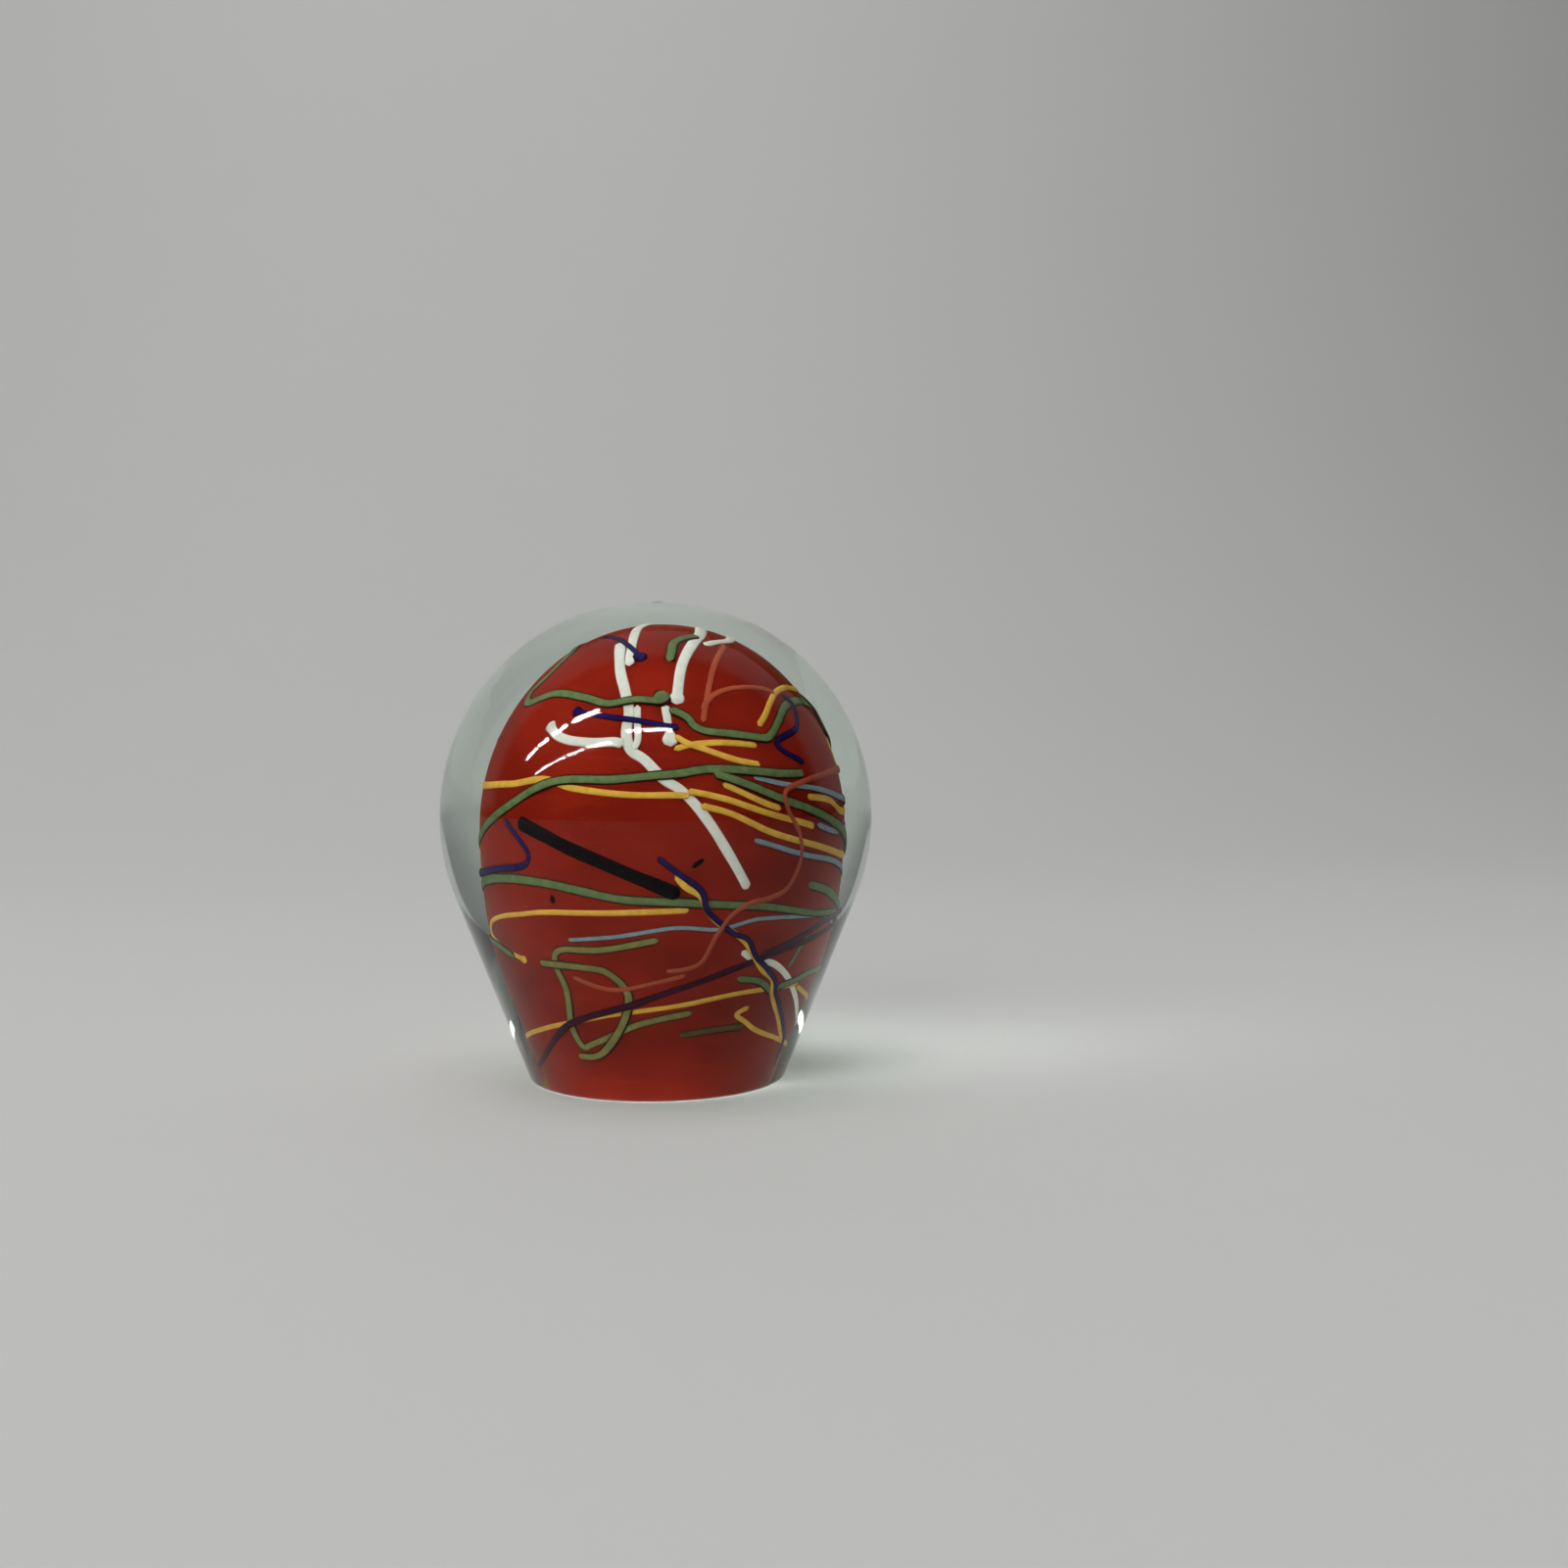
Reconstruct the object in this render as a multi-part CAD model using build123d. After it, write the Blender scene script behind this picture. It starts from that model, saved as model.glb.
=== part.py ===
from build123d import *
from math import acos, atan2, ceil, cos, degrees, hypot, radians, sin, sqrt, tan
import os

# A solid glass paperweight: an egg-shaped core wound with coloured glass threads, cased in clear glass.
# Millimetres.  The origin is the centre of the ground base, +Z is up and -Y is the front.

# ---- Casing ----
crown_height = 84.0        # top of the clear casing, without the shear mark
ball_radius = 38.0         # widest part of the casing
shoulder_radius = 30.0     # tighter round between the ball and the flattened crown
shoulder_angle = 30.0      # where the ball gives way to the shoulder, measured from the vertical
crown_angle = 18.0         # where the shoulder gives way to the crown
base_radius = 22.4         # ground foot of the casing
base_edge_radius = 1.3     # fire-polished edge of the foot
shear_mark_radius = 1.5    # small button left where the shears cut the gather
shear_mark_height = 0.35

# ---- Core ----
core_height = 68.9                        # top of the red core
core_radii = (19.5, 25.4, 108.0, 900.0)   # crown, shoulder, belly and foot of the egg
core_angles = (46.0, 92.0, 105.0)         # where each of those gives way to the next
core_lean = 0.9                           # the core leans towards +X inside the casing
overlay_thickness = 2.2                   # opaque red skin over the clear heart
ground_off = 3.0                          # core below the base plane, ground away with the foot

# ---- Threads ----
film = 0.12                # clear glass between a thread and whatever it lies on
look_step = 1.0            # how finely a thread's way over the others is looked at
longest_run = 3            # the longest straight run of a thread, in those steps
look_around = 6.0          # threads further off than this in height are not met
own_turn = 8               # steps after which a thread can meet itself again
steepest = 1.0             # the steepest that a thread climbs, as a slope
slack = 0.05               # how far a straight run may dip under the height that it should clear
bend_share = 0.45          # share of each run given to the rounding at its ends

white_cane = 1.8
green_cane = 1.6
yellow_cane = 1.05
blue_cane = 1.2
purple_cane = 1.25
grey_cane = 1.15
black_cane = 2.1
salmon_cane = 0.75

# Each thread: its name, its thickness, the diameters of the blobs at its start and end (0 where it
# is snapped off), and the points it passes, as (azimuth, height) on the upright core.  Azimuth 0 is
# the front and 90 is +X.  They stand in the order they were laid: a later one climbs over an earlier.
threads = [
    ("white_thread_long_sweep", white_cane, 0, 0,
     [(-76, 68), (-36, 66), (-24, 63.7), (-18, 61), (-17, 58), (-14, 55.9), (-8, 54.7), (0, 52.2),
      (8, 50.2), (20, 45), (35, 37)]),
    ("white_thread_left_branch", 1.6, 0, 2.3,
     [(-60, 58.6), (-50, 57.4), (-43, 56.9), (-32, 56.8), (-22, 56.8)]),
    ("white_thread_crown_left", white_cane, 0, 2.3, [(-166, 67), (-140, 68.2), (-60, 68.3), (-29, 66.3)]),
    ("white_thread_front_strand", 1.1, 0, 0, [(-14, 61.8), (-12.5, 59.5), (-11.5, 57.3), (-13, 56)]),
    ("white_thread_crown_right", white_cane, 0, 2.2,
     [(153, 67), (113, 68.4), (50, 68.4), (13, 66.5), (6, 62)]),
    ("white_thread_crown_back", 1.5, 0, 0, [(172, 62), (148, 65), (118, 67), (85, 67.7), (66, 67.6)]),
    ("white_thread_short_drop", 1.5, 0, 2.5, [(0, 62), (2, 59), (3, 56.5)]),
    ("white_thread_low_right", white_cane, 2.2, 0,
     [(36, 27), (43, 25.5), (56, 24.5), (70, 22), (86, 18.5), (105, 15), (145, 13)]),
    ("white_thread_back_sweep", white_cane, 0, 2.2, [(132, 56), (160, 51), (195, 43.5), (222, 35)]),
    ("yellow_thread_upper_ring", yellow_cane, 0, 1.6,
     [(14, 48.7), (26, 47.5), (43, 45), (62, 43.5), (98, 42), (140, 43), (180, 46), (225, 48.5),
      (262, 49.5), (289, 50.5), (309, 51.5), (323, 50.5), (345, 50), (366, 49.7)]),
    ("yellow_thread_right_upper", yellow_cane, 0, 0, [(9, 50.5), (24, 49.5), (42, 47.5), (69, 45.5)]),
    ("yellow_thread_right_short", yellow_cane, 0, 0, [(23, 51.5), (40, 49), (49, 48)]),
    ("yellow_thread_shoulder_short", yellow_cane, 0, 0, [(6, 58), (12, 57), (26, 57), (43, 56.5)]),
    ("yellow_thread_shoulder_lower", yellow_cane, 0, 0, [(4, 56), (13, 56.3), (32, 54.7), (42, 54)]),
    ("yellow_thread_shoulder_right", yellow_cane, 0, 0,
     [(47, 59), (55, 60.3), (64, 61.6), (77, 62.5), (93, 62.3), (109, 61), (135, 58.5), (165, 57.5)]),
    ("yellow_thread_waist_right", yellow_cane, 0, 0,
     [(65, 49.5), (83, 48.7), (100, 47), (135, 47.5), (165, 49)]),
    ("yellow_thread_right_hook", yellow_cane, 0, 0,
     [(120, 56), (112, 55.3), (106, 53.8), (110, 52), (135, 51)]),
    ("yellow_thread_lower_left_hook", yellow_cane, 1.6, 0,
     [(-69, 25), (-87, 27.5), (-101, 30), (-100, 32), (-89, 33), (-58, 33.5), (-28, 33.5), (11, 34)]),
    ("yellow_thread_low_ring", yellow_cane, 0, 0,
     [(-130, 12), (-97, 12), (-54, 14), (-22, 16), (9, 17.5), (40, 19.5), (82, 21)]),
    ("yellow_thread_foot_hook", yellow_cane, 0, 0,
     [(48, 17), (41, 15.7), (48, 14.3), (59, 12.5), (90, 10.5), (130, 10), (165, 11.5)]),
    ("yellow_thread_low_right", yellow_cane, 0, 0, [(81, 20.3), (95, 19.4), (130, 18.5), (165, 19)]),
    ("grey_thread_upper_right", grey_cane, 0, 0,
     [(37, 52.4), (52, 51.4), (77, 50.1), (99, 48.7), (160, 45)]),
    ("grey_thread_waist_right", grey_cane, 0, 0, [(36, 43.8), (60, 42), (101, 40.6), (140, 39), (178, 38)]),
    ("grey_thread_middle_ring", grey_cane, 0, 0,
     [(-41, 28.8), (-19, 29.5), (5, 31), (24, 30.7), (43, 32.5), (72, 33), (93, 33.3), (130, 31),
      (160, 30)]),
    ("grey_thread_right_short", grey_cane, 0, 0, [(71, 45.7), (90, 44.8), (120, 45.5)]),
    ("green_thread_middle_ring", green_cane, 0, 0,
     [(20, 53), (34, 51.5), (50, 49.3), (64, 48), (104, 44), (140, 41), (180, 39.5), (225, 41), (261, 43.8),
      (288, 47.3), (315, 51.3), (341, 52), (362, 52.8), (378, 53.6), (409, 52.8), (426, 52.5)]),
    ("green_thread_crown", green_cane, 0, 0, [(90, 68.5), (20, 68.6), (6, 67.8), (3, 67)]),
    ("green_thread_shoulder_left", green_cane, 0, 2.7,
     [(-155, 62), (-128, 64.5), (-107, 65), (-95.5, 63), (-96, 60.7), (-87, 60), (-68, 62), (-45, 62.2),
      (-30, 61.7), (-14, 62.4), (-7, 62.4), (-2, 63.2)]),
    ("green_thread_shoulder_right", green_cane, 0, 0,
     [(1, 62.6), (6, 61.6), (10, 59.8), (20, 58.4), (46, 57.5), (53, 57.9), (62, 59.4),
      (75, 60.8), (95, 60.5), (125, 57), (160, 54.5)]),
    ("green_thread_waist", green_cane, 0, 0,
     [(-145, 37), (-108, 38.3), (-79, 38.5), (-47, 37.6), (-18, 35.6), (13, 35), (46, 34.5), (78, 33.7),
      (95, 34.2), (140, 36)]),
    ("green_thread_waist_right", green_cane, 0, 0,
     [(68, 37.8), (89, 37.1), (103, 36.3), (145, 33.5), (190, 32), (228, 33)]),
    ("green_thread_lower_turn", green_cane, 0, 0,
     [(-1, 29), (-26, 27.2), (-46, 27), (-50, 24.5), (-47, 20), (-49, 13.5), (-45, 10), (-38, 10.5),
      (-15, 13.7), (1, 15.3), (16, 16.3)]),
    ("green_thread_lower_loop", green_cane, 0, 0,
     [(-60, 24.8), (-37, 24.1), (-24, 23.2), (-15, 19.5), (-18, 14.8), (-28, 10.3), (-37, 8.4),
      (-50, 8.3)]),
    ("green_thread_foot_short", green_cane, 0, 0, [(10, 12.4), (30, 13.1), (47, 13.5)]),
    ("green_thread_low_short", green_cane, 0, 0, [(36, 22.1), (50, 21.4), (61, 19.1)]),
    ("green_thread_back_rise", green_cane, 0, 0,
     [(63, 20.4), (90, 22.8), (104, 23.6), (140, 26), (190, 29.5), (230, 31.3), (249, 30.1),
      (264, 27.9), (275, 26)]),
    ("green_thread_right_link", 1.2, 0, 0, [(78, 31.1), (73, 27.5), (67, 23.7)]),
    ("green_thread_right_hook", green_cane, 0, 0,
     [(150, 60.5), (126, 58), (113, 56.5), (113, 55), (126, 53), (150, 53.5)]),
    ("green_thread_back_loop", green_cane, 0, 0,
     [(215, 25.5), (192, 23), (178, 18), (192, 13.5), (225, 14.5), (250, 19)]),
    ("blue_thread_crown", blue_cane, 0, 1.8, [(-117, 67), (-97, 67.9), (-58, 68), (-21, 67)]),
    ("blue_thread_upper_front", blue_cane, 1.9, 0, [(-43, 60.3), (-27, 60.1), (-4, 59.5), (7, 59)]),
    ("blue_thread_right_hook", blue_cane, 0, 0,
     [(79, 62), (82, 60.3), (73, 58.1), (55, 57), (56, 55.7), (68, 53.8)]),
    ("blue_thread_left_hook", blue_cane, 0, 0,
     [(-72, 46), (-60, 42.7), (-57, 41), (-62, 39.9), (-78, 39.7), (-104, 39.5), (-150, 42)]),
    ("blue_thread_back_arc", blue_cane, 0, 0, [(146, 56), (175, 53.5), (212, 55), (238, 58.5)]),
    ("black_thread_waist", black_cane, 0, 0, [(-63, 45.8), (-43, 43.3), (-18, 39.8), (7, 36.2)]),
    ("purple_thread_diagonal", purple_cane, 0, 0,
     [(-150, 9), (-120, 6.5), (-89, 7.5), (-50, 13.9), (-11, 18), (28, 23.1), (59, 26.9), (103, 31.6),
      (140, 35), (175, 36)]),
    ("purple_thread_right", purple_cane, 0, 0,
     [(46, 26.2), (65, 28.6), (88, 32.3), (101, 33.8), (138, 38), (165, 41)]),
    ("purple_thread_back_dash", purple_cane, 0, 1.7, [(205, 51), (225, 52.5), (246, 54)]),
    ("yellow_thread_diagonal", yellow_cane, 0, 0,
     [(5, 39), (9, 37.3), (15, 36), (18, 34), (24, 31.6), (30, 30.3), (37, 28.4), (43, 25.7), (49, 23.6),
      (57, 21.8), (60, 19), (71, 15.7), (83, 12.3), (91, 10.2)]),
    ("blue_thread_diagonal", blue_cane, 0, 0,
     [(-2, 41.5), (6, 39.2), (15, 36.8), (18, 34), (25, 31.5), (31, 29.9), (38, 28.9), (43, 26), (51, 23.9),
      (59, 21.5), (62, 19.3), (70, 17), (92, 11), (102, 5.5)]),
    ("salmon_thread_crown", salmon_cane, 0, 0, [(92, 67.5), (46, 66.7), (29, 64.6), (18, 59.8)]),
    ("salmon_thread_shoulder", salmon_cane, 0, 0,
     [(26, 63.2), (37, 63.8), (66, 63.3), (74, 62.4)]),
    ("salmon_thread_long_loop", salmon_cane, 0, 0,
     [(120, 51), (99, 52), (62, 51.4), (51.5, 50.3), (52, 48), (59, 44.5), (60.5, 41), (55, 37.4),
      (45, 35.8), (36, 35), (28, 33), (23, 29.6), (18, 25.2), (10, 23.8), (2, 23.5)]),
    ("salmon_thread_faint", salmon_cane, 0, 0, [(-42, 22.3), (-21, 20.3), (11, 22.9)]),
]

# Short chips of black thread, each as thickness and its two ends
chips = [
    (0.9, (-46, 33.5), (-46, 35.5)),
    (0.7, (11, 40), (16, 41.3)),
    (0.8, (196, 35), (203, 35.8)),
]

# Short chips of black thread, each as thickness and its two ends
chips = [
    (0.9, (-46, 34.7), (-46, 36.1)),
    (0.7, (11, 40), (16, 41.3)),
    (0.8, (196, 35), (203, 35.8)),
]


def smooth_outline(top, radii, ends):
    """Arcs that run on without a corner from the axis downwards, as (centre, radius, start, end).

    Angles are measured from the vertical, in degrees."""
    centre = Vector(0, 0, top - radii[0])
    arcs = [(centre, radii[0], 0.0, ends[0])]
    for number, start in enumerate(ends[:-1]):
        outward = Vector(sin(radians(start)), 0, cos(radians(start)))
        centre = centre + outward * (radii[number] - radii[number + 1])
        arcs.append((centre, radii[number + 1], start, ends[number + 1]))
    return arcs


def turned(arcs, foot_corners, foot_round=0.0):
    """The solid turned about the axis from an outline of arcs and the corners of its foot."""
    top = arcs[0][0].Z + arcs[0][1]
    with BuildSketch(Plane.XZ) as profile:
        with BuildLine():
            for centre, radius, start, end in arcs:
                side = CenterArc((centre.X, centre.Z), radius, 90 - start, start - end)
            Polyline(side @ 1, *foot_corners, (0, top))
        make_face()
        if foot_round:
            foot_edge = profile.vertices().filter_by_position(Axis.Y, -1, 1).sort_by(Axis.X)[-1]
            fillet(foot_edge, foot_round)
    return revolve(profile.sketch, Axis.Z)


def egg_arcs(inset=0.0):
    """The core's outline, or the same outline an even distance inside it."""
    radii = [radius - inset for radius in core_radii]
    arcs = smooth_outline(core_height - inset, radii, core_angles + (180.0,))
    centre, radius, start, _ = arcs[-1]
    foot_angle = degrees(acos((-ground_off - centre.Z) / radius))
    return arcs[:-1] + [(centre, radius, start, foot_angle)]


def egg(inset=0.0):
    """The core before grinding, upright, as long as it was blown."""
    return turned(egg_arcs(inset), [(0, -ground_off)])


skin = egg_arcs()


def on_skin(azimuth, height):
    """The point of the core's skin at an azimuth and a height."""
    for centre, radius, _, end in skin:
        if height >= centre.Z + radius * cos(radians(end)):
            break
    reach = centre.X + sqrt(radius ** 2 - (height - centre.Z) ** 2)
    return Vector(reach * sin(radians(azimuth)), -reach * cos(radians(azimuth)), height)


def off_skin(point, distance):
    """The point at a distance outside the skin, over the spot of skin nearest to a point."""
    reach = hypot(point.X, point.Y)
    for centre, radius, _, end in skin:
        angle = atan2(reach - centre.X, point.Z - centre.Z)
        if angle <= radians(end):
            break
    new_reach = centre.X + (radius + distance) * sin(angle)
    height = centre.Z + (radius + distance) * cos(angle)
    return Vector(point.X * new_reach / reach, point.Y * new_reach / reach, height)


def needed_lift(spot, width, runs):
    """How far off the skin a thread must pass over a spot, to clear the runs laid there already."""
    lift = 0
    for first, last, first_top, last_top, other_width in runs:
        if abs(spot.Z - first.Z) > look_around:
            continue
        run = last - first
        along = min(1, max(0, (spot - first).dot(run) / run.dot(run)))
        gap = (spot - first - run * along).length
        if gap < (width + other_width + look_step) / 2:
            lift = max(lift, first_top + (last_top - first_top) * along + film)
    return lift


def eased(lifts):
    """The same lifts, raised beside the high ones so that no step is steeper than a cane bends."""
    for _ in ("forwards", "backwards"):
        for number in range(1, len(lifts)):
            lifts[number] = max(lifts[number], lifts[number - 1] - steepest * look_step)
        lifts.reverse()
    return lifts


def run_clears(lifts):
    """Whether a straight run between the first and last of some lifts stays above all of them."""
    slope = (lifts[-1] - lifts[0]) / (len(lifts) - 1)
    return all(lift - lifts[0] - slope * number < slack for number, lift in enumerate(lifts))


def thread_line(route, thickness, start_blob, end_blob, laid):
    """A thread's centre line over the skin and over what is laid; it joins what is laid.

    It has as few points as keep its straight runs short and clear of the threads under them."""
    guide = Spline(*[on_skin(azimuth, height) for azimuth, height in route])
    steps = ceil(guide.length / look_step)
    spots = [off_skin(guide @ (step / steps), 0) for step in range(steps + 1)]
    widths = [thickness] * (steps + 1)
    widths[:3] = [max(thickness, start_blob)] * 3
    widths[-3:] = [max(thickness, end_blob)] * 3
    tops = []
    lifts = []
    for number, spot in enumerate(spots):
        earlier = range(number - own_turn)
        own_runs = [(spots[n], spots[n + 1], tops[n], tops[n + 1], widths[n]) for n in earlier]
        lifts.append(needed_lift(spot, widths[number], laid + own_runs))
        tops.append(lifts[-1] + film + widths[number])
    lifts = eased(lifts)
    kept = [0]
    for number in range(2, steps + 1):
        run = lifts[kept[-1]:number + 1]
        if len(run) > longest_run + 1 or len(run) > 2 and not run_clears(run):
            kept.append(number - 1)
    kept.append(steps)
    tops = [lift + film + width for lift, width in zip(lifts, widths)]
    for first, last in zip(kept, kept[1:]):
        laid.append((spots[first], spots[last], tops[first], tops[last], max(widths[first:last + 1])))
    return [off_skin(spots[number], lifts[number] + film + thickness / 2) for number in kept]


def rounded_line(points):
    """Straight runs between points, rounded into one another."""
    rounding = []
    for before, corner, after in zip(points, points[1:], points[2:]):
        turn = radians((corner - before).get_angle(after - corner))
        run = min((corner - before).length, (after - corner).length)
        rounding.append(bend_share * run / tan(max(turn, 0.001) / 2))
    return FilletPolyline(*points, radius=rounding)


def skin_distance(point):
    """How far a point is outside the skin."""
    return (point - off_skin(point, 0)).length


def blob(point, thickness, diameter):
    """The bead that a melted end draws up into, sitting as high as its thread."""
    rise = (diameter - thickness) / 2
    return Pos(off_skin(point, skin_distance(point) + rise)) * Sphere(diameter / 2)


def thread(route, thickness, start_blob, end_blob, laid):
    """One glass thread: a round cane along its route, snapped or melted to a bead at each end."""
    points = thread_line(route, thickness, start_blob, end_blob, laid)
    line = rounded_line(points)
    solid = sweep(Plane(origin=line @ 0, z_dir=line % 0) * Circle(thickness / 2), path=line)
    for point, diameter in ((points[0], start_blob), (points[-1], end_blob)):
        if diameter:
            solid = solid + blob(point, thickness, diameter)
    return solid


def chip(thickness, start, end):
    """A short straight chip of thread lying on the skin."""
    ends = [off_skin(on_skin(*spot), film + thickness / 2) for spot in (start, end)]
    line = Line(*ends)
    return sweep(Plane(origin=line @ 0, z_dir=line % 0) * Circle(thickness / 2), path=line)


def casing_blank():
    """The clear gather before anything is inside it."""
    ball_rise = (ball_radius - shoulder_radius) * cos(radians(shoulder_angle))
    off_axis = (ball_radius - shoulder_radius) * sin(radians(shoulder_angle))
    crown_radius = shoulder_radius + off_axis / sin(radians(crown_angle))
    crown_drop = (crown_radius - shoulder_radius) * cos(radians(crown_angle))
    ball_centre = crown_height - crown_radius + crown_drop - ball_rise
    # the foot's cone is tangent to the ball and ends at the base radius
    slope = atan2(ball_centre, base_radius) - acos(ball_radius / hypot(ball_centre, base_radius))
    radii = (crown_radius, shoulder_radius, ball_radius)
    arcs = smooth_outline(crown_height, radii, (crown_angle, shoulder_angle, 90 + degrees(slope)))
    blank = turned(arcs, [(base_radius, 0), (0, 0)], base_edge_radius)
    mark_radius = (shear_mark_radius ** 2 + shear_mark_height ** 2) / (2 * shear_mark_height)
    mark = Pos(0, 0, crown_height + shear_mark_height - mark_radius) * Sphere(mark_radius)
    return blank + mark


def leaned(shape):
    """A piece of the upright core as it stands in the casing."""
    return shape.rotate(Axis.Y, core_lean)


def ground(shape):
    """What grinding the foot flat leaves of a piece."""
    return shape & Pos(0, 0, crown_height) * Box(4 * ball_radius, 4 * ball_radius, 2 * crown_height)


laid = []
pieces = {}
for name, thickness, start_blob, end_blob, route in threads:
    pieces[name] = leaned(thread(route, thickness, start_blob, end_blob, laid))
pieces["black_chips"] = Compound([leaned(chip(*sizes)) for sizes in chips])

solids = [solid for piece in pieces.values() for solid in piece.solids()]
pieces["clear_casing"] = casing_blank().cut(leaned(egg()), *solids)
pieces["red_overlay"] = ground(leaned(egg() - egg(overlay_thickness)))
pieces["heart_gather"] = ground(leaned(egg(overlay_thickness)))

os.makedirs("parts", exist_ok=True)
for name, piece in pieces.items():
    piece.label = name
    export_step(piece, "parts/" + name + ".step")
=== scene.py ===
from math import acos, atan2, ceil, cos, degrees, exp, hypot, pi, radians, sin, sqrt

import bpy
import numpy as np
from mathutils import Matrix, Vector, noise


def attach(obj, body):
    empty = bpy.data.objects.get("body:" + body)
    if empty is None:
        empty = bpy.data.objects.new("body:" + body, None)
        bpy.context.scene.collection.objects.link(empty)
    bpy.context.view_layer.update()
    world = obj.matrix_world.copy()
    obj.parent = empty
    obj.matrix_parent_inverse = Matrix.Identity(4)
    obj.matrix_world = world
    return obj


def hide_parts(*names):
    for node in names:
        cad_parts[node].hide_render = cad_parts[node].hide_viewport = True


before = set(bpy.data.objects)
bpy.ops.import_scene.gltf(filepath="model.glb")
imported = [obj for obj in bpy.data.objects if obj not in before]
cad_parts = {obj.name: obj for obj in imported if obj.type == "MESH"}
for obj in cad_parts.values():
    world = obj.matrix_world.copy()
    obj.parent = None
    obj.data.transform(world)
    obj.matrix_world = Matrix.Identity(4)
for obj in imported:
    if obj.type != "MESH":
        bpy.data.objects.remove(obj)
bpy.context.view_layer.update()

# A cased glass paperweight: an egg of opaque red glass, wound with coloured glass threads, inside a
# clear round casing with a ground foot.  Metres.  The origin is the centre of the foot, -Y is the
# front and +Z is up.

MM = 0.001

# ---- Casing ----
crown_height = 84.0 * MM
ball_radius = 38.0 * MM
shoulder_radius = 30.0 * MM
shoulder_angle = 30.0           # angles are measured from the vertical, in degrees
crown_angle = 18.0
base_radius = 22.4 * MM
base_edge_radius = 1.3 * MM
shear_mark_radius = 1.5 * MM
shear_mark_height = 0.35 * MM
turning_steps = 256             # sections round the casing and the core

# ---- Core ----
core_height = 68.9 * MM
core_radii = (19.5 * MM, 25.4 * MM, 108.0 * MM, 900.0 * MM)
core_angles = (46.0, 92.0, 105.0)
core_lean = 0.9
overlay_thickness = 2.2 * MM
foot_clearance = 0.06 * MM      # between the core's ground end and the plane of the foot
foot_corner = 0.4 * MM          # what lies below this height belongs to the core's ground end

# ---- Threads, whose sizes and routes are in millimetres ----
spot_gap = 0.5 * MM             # distance between two sections of a thread
flatness = 0.34                 # height over width of a thread's section, after it sank into the red
sunk_share = 0.05               # how deep the middle of its section lies under the skin, in its thicknesses
ride_share = 0.03               # how far that middle stays above a thread that it crosses, the same way
rise_distance = 1.7             # where a thread starts to climb over another, in sums of both radii
wobble = 0.12 * MM              # how far a hand-laid thread strays from its line
wobble_length = 7 * MM
swell = 0.08                    # how much a thread's thickness varies, as a share
swell_length = 4 * MM

white_cane = 1.55
green_cane = 1.5
yellow_cane = 0.95
blue_cane = 0.95
purple_cane = 1.2
grey_cane = 1.0
black_cane = 2.0
salmon_cane = 0.9

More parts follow.
